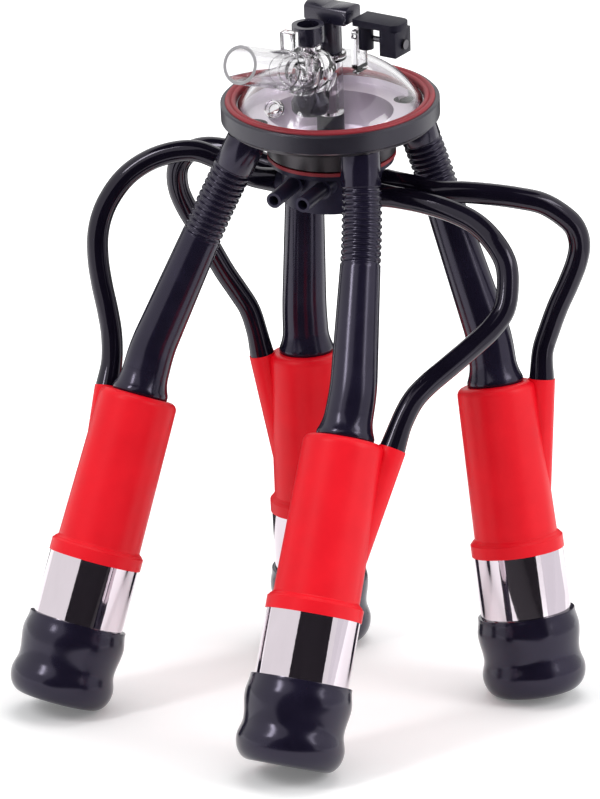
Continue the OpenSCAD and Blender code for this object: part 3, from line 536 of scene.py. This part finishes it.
def liner(i):
    lower = [(LIP_HOLE_R, 1.2), (LIP_HOLE_R + 0.5, 0.4), (LIP_HOLE_R + 1.5, 0)]
    lip = arc((MOUTH_FLAT_R, LIP_H), LIP_ROLL, LIP_H, -90, 0, LIP_STEPS)
    skirt = (ease((LIP_R, LIP_H), (WAIST_R, WAIST_Z), SKIRT_STEPS)
             + ease((WAIST_R, WAIST_Z), (BULGE_R, BULGE_Z), SKIRT_STEPS)
             + ease((BULGE_R, BULGE_Z), (SKIRT_R, MOUTH_H - RIM_ROUND), RIM_STEPS))
    edge = [(SKIRT_R - RIM_BREAK, MOUTH_H - RIM_BREAK), (SKIRT_R - RIM_ROUND, MOUTH_H)]
    inside = [(SKIRT_RI, MOUTH_H), (SKIRT_RI, SHOULDER_Z), (BARREL_R + SHOULDER_STEP, SHOULDER_Z),
              (BARREL_R, SHOULDER_Z + SHOULDER_H), (BARREL_R, TAIL_FROM), (TAIL_R, TAIL_TO),
              (TAIL_R, TOP_Z), (COLLAR_R - COLLAR_EDGE, TOP_Z)]
    bell = ([(COLLAR_R, TOP_Z + COLLAR_EDGE), (COLLAR_R, TOP_Z + COLLAR_H - COLLAR_EDGE)]
            + flare((COLLAR_R, TOP_Z + COLLAR_H), (TUBE_END_D / 2, TOP_Z + BELL_H), BELL_STEPS))
    bore = [(TUBE_RI, TOP_Z + BELL_H), (TUBE_RI, BORE_TO), (BARREL_RI, BORE_FROM),
            (BARREL_RI, LIP_H + CHAMBER_H), (CHAMBER_R, LIP_H + CHAMBER_EDGE),
            (CHAMBER_R, LIP_THICK + CHAMBER_EDGE), (LIP_HOLE_R, LIP_THICK)]
    outline = lower + lip + skirt + edge + inside + bell + bore
    rim = range(len(lower + lip + skirt) - 1, len(lower + lip + skirt + edge))

    def wobble(j, r, z, a):
        if j in rim:
            spot = Vector((RIM_WAVES * math.cos(a), RIM_WAVES * math.sin(a), RIM_SHIFT * i))
            r += RIM_WAVE * max(0, noise.noise(spot))
        return r, z

    verts, faces = lathe(outline, LINER_SIDES, CUP[i], wobble)
    # The lip is pressed flat by the floor
    for v in verts:
        v.z = max(v.z, 0.0)
    obj = piece(f"rubber_liner_{i + 1}", verts, faces, RUBBER)
    smooth_by_angle(obj.data, RUBBER_CORNER)
    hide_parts(f"liner_{i + 1}")
    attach(obj, f"cup_{i + 1}")


for i in CUPS:
    liner(i)

# Clear bowl and its outlet pipe, cut fine enough to refract cleanly
BOWL = CLAW @ turn("Z", -8)
OUTLET_Z, OUTLET_RISE, OUTLET_L = 26.98, 21.5, 56.96
OUTLET = BOWL @ Matrix.Translation((0, -25, OUTLET_Z)) @ turn("X", 90 - OUTLET_RISE)
VALVE = BOWL @ Matrix.Translation((0, -17.6, 0))
STUB = BOWL @ turn("Z", -98) @ Matrix.Translation((41, 0, 10.93)) @ turn("Z", 22) @ turn("Y", 60)
HANGER = BOWL @ Matrix.Translation((0, 1, 41.1)) @ turn("Y", 90)
DOME_OUT, DOME_WALL, DOME_Z, DOME_TOP = 56.614, 3, -28.114, 28.5
FOOT_R, FOOT_Z, FOOT_H, FOOT_EDGE = 47.8, 2.0, 1.3, 0.2
NECK_R, NECK_BORE, NECK_FROM, NECK_END = 10.3, 7.6, -1, 10
PIPE_R, PIPE_BORE, PIPE_STOP, PIPE_EDGE, STOP_EDGE = 9.75, 8.0, 17.6, 0.25, 0.3
PIPE_CUT = 8
COLUMN_R, COLUMN_FOOT, COLUMN_SINK, COLUMN_BORE = 7, -3, 0.2, 3.08
CROWN_R, CROWN_DROP, CROWN_RISE, CROWN_EDGE = 9, 4, 1.5, 0.5
ROOM_OVER, ROOM_BACK, ROOM_EDGE = 2.35, -14, 0.4
VALVE_R, VALVE_H, VALVE_BORE = 6, 12.5, 2.48
BELL_ROOM_R, BELL_ROOM_DROP = 7.5, 10.5
BELL_WELL_R, BELL_WELL_FOOT, BELL_WELL_DROP = 10, -10, 9.5
STUB_R, STUB_FOOT, STUB_TOP, STUB_EDGE, STUB_SINK = 4.8, -6, 4.5, 0.8, 0.6
STUB_BORE, STUB_BORE_FROM = 3.2, 0.5
EAR_LOW, EAR_HIGH, EAR_EDGE = (17, -5, 21.5), (20.4, 5, 45.3), 0.5
EAR_HOLE_R, EAR_HOLE = 1.55, (16, 21.4)
LUG_LOW, LUG_HIGH, LUG_EDGE = (-4, -37.1, OUTLET_Z), (4, -32.1, OUTLET_Z + 24.5), 0.7
SHARP, PAST, HAIR = 0.02, 1, 0.01
DOME_STEPS, DOME_SIDES, BALL_STEPS, BALL_SIDES, PIPE_SIDES = 56, 224, 64, 160, 144


def dome_outline():
    inside = DOME_OUT - DOME_WALL
    low = math.degrees(math.asin((FOOT_Z - DOME_Z) / inside))
    high = math.degrees(math.asin((FOOT_Z + FOOT_H - DOME_Z) / DOME_OUT))
    outline = (arc((0, DOME_Z), inside, inside, 90, low, DOME_STEPS)
               + [(FOOT_R - FOOT_EDGE, FOOT_Z), (FOOT_R, FOOT_Z + FOOT_EDGE),
                  (FOOT_R, FOOT_Z + FOOT_H - FOOT_EDGE), (FOOT_R - FOOT_EDGE, FOOT_Z + FOOT_H)]
               + arc((0, DOME_Z), DOME_OUT, DOME_OUT, high, 90, DOME_STEPS))
    return [(0, outline[0][1]), *outline[1:-1], (0, outline[-1][1])]


def clear_stub():
    obj = rod(STUB_R, STUB_FOOT, STUB_TOP, STUB, STUB_EDGE)
    core = DOME_OUT - DOME_WALL + STUB_SINK
    ball = arc((0, DOME_Z), core, core, -90, 90, BALL_STEPS)
    outline = [(0, ball[0][1]), *ball[1:-1], (0, ball[-1][1])]
    combine(obj, [turned("ball", outline, BOWL, BALL_SIDES)], "DIFFERENCE")
    return obj


def clear_bowl():
    obj = turned("clear_bowl", dome_outline(), BOWL, DOME_SIDES)
    combine(obj, [
        rod(COLUMN_R, COLUMN_FOOT, DOME_TOP - COLUMN_SINK, BOWL),
        rod(CROWN_R, DOME_TOP - CROWN_DROP, DOME_TOP + CROWN_RISE, BOWL, CROWN_EDGE),
        rod(NECK_R + ROOM_OVER, ROOM_BACK, 0, OUTLET, ROOM_EDGE),
        rod(NECK_R, NECK_FROM, NECK_END, OUTLET, SHARP),
        rod(VALVE_R, OUTLET_Z, OUTLET_Z + VALVE_H, VALVE),
        clear_stub(),
        block(EAR_LOW, EAR_HIGH, BOWL, EAR_EDGE),
    ], "UNION")
    combine(obj, [
        rod(COLUMN_BORE, COLUMN_FOOT - PAST, DOME_TOP + CROWN_RISE + PAST, BOWL, SHARP),
        rod(NECK_BORE, NECK_FROM - PAST, NECK_END + PAST, OUTLET, SHARP),
        rod(BELL_WELL_R, BELL_WELL_FOOT, OUTLET_Z - BELL_WELL_DROP, VALVE),
        rod(BELL_ROOM_R, OUTLET_Z - BELL_ROOM_DROP, OUTLET_Z, VALVE),
        rod(VALVE_BORE, OUTLET_Z - PAST, OUTLET_Z + VALVE_H + PAST, VALVE, SHARP),
        rod(STUB_BORE, STUB_BORE_FROM, STUB_TOP + PAST, STUB),
        rod(EAR_HOLE_R, *EAR_HOLE, HANGER, SHARP),
    ], "DIFFERENCE")
    return obj


def clear_outlet():
    wall = [(PIPE_BORE, NECK_END), (NECK_R - SHARP, NECK_END), (NECK_R, NECK_END + SHARP),
            (NECK_R, PIPE_STOP - STOP_EDGE), (NECK_R - STOP_EDGE, PIPE_STOP), (PIPE_R, PIPE_STOP),
            (PIPE_R, OUTLET_L - PIPE_EDGE), (PIPE_R - PIPE_EDGE, OUTLET_L),
            (PIPE_BORE + PIPE_EDGE, OUTLET_L), (PIPE_BORE, OUTLET_L - PIPE_EDGE)]
    obj = piece("clear_outlet", *lathe(wall, PIPE_SIDES, OUTLET))
    combine(obj, [block(LUG_LOW, LUG_HIGH, BOWL, LUG_EDGE)], "UNION")
    bore = rod(PIPE_BORE - HAIR, NECK_END - PIPE_CUT, OUTLET_L + PAST, OUTLET, SHARP, PIPE_SIDES)
    combine(obj, [bore], "DIFFERENCE")
    return obj


for obj, node in ((clear_bowl(), "bowl"), (clear_outlet(), "outlet_pipe")):
    weld(obj.data)
    obj.data.materials.clear()
    obj.data.materials.append(CLEAR)
    if node == "outlet_pipe":
        # The sawn end of the pipe is matt
        obj.data.materials.append(MATT_CLEAR)
        for face in obj.data.polygons:
            way = (OUTLET.inverted() @ (face.center / MM)).z
            face.material_index = int(way > OUTLET_L - PIPE_EDGE - HAIR)
    smooth_by_angle(obj.data, CLEAR_CORNER)
    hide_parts(node)
    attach(obj, "claw")


# Moulded solids whose corners the eye meets: the node's form with its edges broken
EASE_WELD, EASE_FLAT, EASE_OVER = 2e-6, 0.4, 35


def eased_copy(node, width, body, finish):
    """A node's copy with its corners rounded by a width in millimetres, in place of the node."""
    bm = bmesh.new()
    bm.from_mesh(NODES[node].data)
    bmesh.ops.remove_doubles(bm, verts=bm.verts[:], dist=EASE_WELD)
    bmesh.ops.dissolve_limit(bm, angle_limit=math.radians(EASE_FLAT), verts=bm.verts[:], edges=bm.edges[:])
    corners = [e for e in bm.edges
               if len(e.link_faces) == 2 and e.calc_face_angle(0) > math.radians(EASE_OVER)]
    bmesh.ops.bevel(bm, geom=corners, offset=width * MM, clamp_overlap=True, **ROUNDED)
    mesh = bpy.data.meshes.new(node + "_eased")
    bm.to_mesh(mesh)
    bm.free()
    mesh.materials.append(finish)
    smooth_by_angle(mesh, EASED_CORNER)
    obj = bpy.data.objects.new(node + "_eased", mesh)
    SCENE.collection.objects.link(obj)
    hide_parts(node)
    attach(obj, body)


eased_copy("clamp_handle", 0.9, "clamp", GLOSS_BLACK)
eased_copy("hanger_bracket", 0.6, "claw", MATT_BLACK)

# Carried-over solids: smooth round faces and sharp corners kept apart by angle
for obj in NODES.values():
    smooth_by_angle(obj.data, SOLID_CORNER)

# White floor that glows more with distance where it is seen, into a white background; the glow is painted
# light, weaker near the middle so the shadows under the cups stay dark, and stronger further out where the
# lamps fall off
FLOOR_HALF = 6.0
FLOOR_CORNERS = ((-1, -1), (1, -1), (1, 1), (-1, 1))
FLOOR_WHITE, FLOOR_ROUGH, PURE_WHITE = (0.95, 0.95, 0.955, 1), 0.9, (1, 1, 1, 1)
LIFT_FROM, LIFT_TO, LIFT_LOW, LIFT_HIGH = 0.15, 0.9, 0.14, 0.55
SKY_LIGHT, SKY_SEEN = 0.65, 1.0

floor_mesh = bpy.data.meshes.new("floor")
floor_mesh.from_pydata([(x * FLOOR_HALF, y * FLOOR_HALF, 0) for x, y in FLOOR_CORNERS], [], [(0, 1, 2, 3)])
floor = bpy.data.objects.new("floor", floor_mesh)
SCENE.collection.objects.link(floor)


def floor_paint():
    paint = bpy.data.materials.new("floor_paint")
    paint.use_nodes = True
    tree = paint.node_tree
    link = tree.links.new
    shader = fill(tree.nodes["Principled BSDF"], Base_Color=FLOOR_WHITE, Roughness=FLOOR_ROUGH)
    ray = add(tree, "LightPath")
    seen = add(tree, "Math", "MAXIMUM")
    link(ray.outputs["Is Camera Ray"], seen.inputs[0])
    link(ray.outputs["Is Glossy Ray"], seen.inputs[1])
    spot = add(tree, "TexCoord")
    away = add(tree, "VectorMath", "LENGTH")
    link(spot.outputs["Object"], away.inputs[0])
    # Painted light: less glow near the middle, where the cups' shadows fall, more glow far out
    grow = add(tree, "MapRange", From_Min=LIFT_FROM, From_Max=LIFT_TO, To_Min=LIFT_LOW, To_Max=LIFT_HIGH)
    grow.interpolation_type = "SMOOTHSTEP"
    link(away.outputs["Value"], grow.inputs["Value"])
    lift = add(tree, "Math", "MULTIPLY")
    link(seen.outputs[0], lift.inputs[0])
    link(grow.outputs["Result"], lift.inputs[1])
    glow = add(tree, "Emission", Color=PURE_WHITE)
    link(lift.outputs[0], glow.inputs["Strength"])
    both = add(tree, "AddShader")
    link(shader.outputs[0], both.inputs[0])
    link(glow.outputs[0], both.inputs[1])
    link(both.outputs[0], tree.nodes["Material Output"].inputs["Surface"])
    return paint


def studio():
    world = bpy.data.worlds.new("studio")
    world.use_nodes = True
    tree = world.node_tree
    link = tree.links.new
    sky = fill(tree.nodes["Background"], Color=PURE_WHITE)
    ray = add(tree, "LightPath")
    through = add(tree, "Math", "MAXIMUM")
    link(ray.outputs["Is Glossy Ray"], through.inputs[0])
    link(ray.outputs["Is Transmission Ray"], through.inputs[1])
    seen = add(tree, "Math", "MAXIMUM")
    link(ray.outputs["Is Camera Ray"], seen.inputs[0])
    link(through.outputs[0], seen.inputs[1])
    level = add(tree, "MapRange", To_Min=SKY_LIGHT, To_Max=SKY_SEEN)
    link(seen.outputs[0], level.inputs["Value"])
    link(level.outputs["Result"], sky.inputs["Strength"])
    return world


floor_mesh.materials.append(floor_paint())
SCENE.world = studio()


# Soft lamps, sizes in metres
def softbox(name, at, look, size, watts):
    lamp = bpy.data.objects.new(name, bpy.data.lights.new(name, "AREA"))
    lamp.data.shape = "RECTANGLE"
    lamp.data.size, lamp.data.size_y = size
    lamp.data.energy = watts
    lamp.location = at
    lamp.rotation_euler = (Vector(look) - Vector(at)).to_track_quat("-Z", "Y").to_euler()
    SCENE.collection.objects.link(lamp)


softbox("key", (-1.5, -1.1, 1.9), (0, 0, 0.2), (0.35, 1.0), 15)
softbox("fill", (1.6, -0.7, 1.2), (0, 0, 0.15), (0.8, 1.0), 12)
softbox("top", (0.1, 0.3, 2.2), (0, 0, 0), (1.4, 1.4), 16)


# Dark cards and a grey one round the set, seen only in reflections and through clear plastic
CARD_BLACK = (0.012, 0.009, 0.014, 1)
CARD_THROUGH = (0.45, 0.43, 0.46, 1)
CARD_GREY = (0.90, 0.89, 0.92, 1)
FLAG_FAR, FLAG_Z = 1.3, 0.001
FRONT_NEAR, FRONT_SPAN, FRONT_LOW, FRONT_TOP, FRONT_SLOPE = 0.26, 46, 0.02, 2.2, 24
BACK_NEAR, BACK_TOP = 0.3, 0.5
GREY_NEAR, GREY_TOP = 0.5, 1.0
OVERHEAD_Z = 2.1


def card(name, verts, faces, glow=None):
    """A card that is black in reflections and lighter through clear plastic, or one of an even glow."""
    mesh = bpy.data.meshes.new(name)
    mesh.from_pydata(verts, [], faces)
    dark = bpy.data.materials.new(name)
    dark.use_nodes = True
    tree = dark.node_tree
    shader = fill(tree.nodes["Principled BSDF"], Base_Color=CARD_BLACK, Roughness=1,
                  Emission_Color=glow or CARD_THROUGH, Emission_Strength=1)
    if not glow:
        ray = add(tree, "LightPath")
        tree.links.new(ray.outputs["Is Transmission Ray"], shader.inputs["Emission Strength"])
    mesh.materials.append(dark)
    obj = bpy.data.objects.new(name, mesh)
    SCENE.collection.objects.link(obj)
    obj.visible_camera = obj.visible_diffuse = obj.visible_shadow = False


def round_set(degrees, reach):
    """The place at a distance from the middle, in degrees from the camera's side to the right."""
    return reach * math.sin(math.radians(degrees)), -reach * math.cos(math.radians(degrees))


def flag(name, near, spans, glow=None):
    """A card that lies on the floor and then stands up; its spans are degrees and heights."""
    verts, faces = [], []
    for degrees, top in spans:
        foot = round_set(degrees, FLAG_FAR)
        verts += [(*round_set(degrees, near), FLAG_Z), (*foot, FLAG_Z), (*foot, top)]
    for k in range(len(spans) - 1):
        for j in range(2):
            a = 3 * k + j
            faces.append((a, a + 1, a + 4, a + 3))
    card(name, verts, faces, glow)


flag("front_flag", FRONT_NEAR,
     [(d, min(FRONT_TOP, max(FRONT_LOW, (d + FRONT_SPAN) / FRONT_SLOPE)))
      for d in range(-FRONT_SPAN, FRONT_SPAN + 1, 4)])
flag("left_flag", BACK_NEAR, [(d, BACK_TOP) for d in range(-174, -143, 6)])
flag("right_flag", BACK_NEAR, [(d, BACK_TOP) for d in range(144, 175, 6)])
flag("grey_flag", GREY_NEAR, [(d, GREY_TOP) for d in range(58, 119, 6)], CARD_GREY)
overhead = [(*round_set(d, FLAG_FAR), OVERHEAD_Z) for d in range(0, 360, 12)]
card("overhead_flag", overhead, [tuple(range(len(overhead)))])

SCENE.view_settings.view_transform = "Standard"
